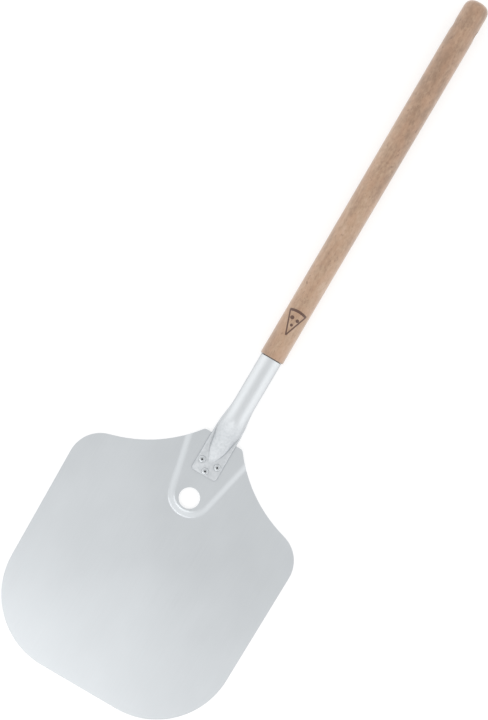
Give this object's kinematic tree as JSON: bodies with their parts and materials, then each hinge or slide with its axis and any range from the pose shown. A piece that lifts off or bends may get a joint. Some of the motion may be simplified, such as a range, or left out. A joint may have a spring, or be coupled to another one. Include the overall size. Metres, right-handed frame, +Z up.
{
  "type": "pizza peel",
  "caption": "Flat stamped blade with rounded corners and a hanging hole, riveted to a flattened tube socket that holds a turned wooden handle.",
  "frame": {"origin": "centre of the blade's flat underside, on the surface the peel rests on", "axes": "+Y along the handle to its free end, +Z up out of the face that food rests on, +X to the right"},
  "size_m": [0.305, 0.9517, 0.0325],
  "materials": {
    "blade_aluminium": "satin rolled sheet",
    "socket_aluminium": "bright drawn tube, pressed",
    "handle_beech": "sanded and lightly oiled",
    "rivet_aluminium": "smooth",
    "mandrel_steel": "broken steel end",
    "screw_steel": "zinc plated"
  },
  "bodies": {
    "root": {"blade": "blade_aluminium", "handle_socket": "socket_aluminium", "handle": "handle_beech", "rivet_left": "rivet_aluminium", "rivet_right": "rivet_aluminium", "rivet_front": "rivet_aluminium", "mandrel_left": "mandrel_steel", "mandrel_right": "mandrel_steel", "mandrel_front": "mandrel_steel", "handle_screw": "screw_steel"}
  },
  "joints": []
}
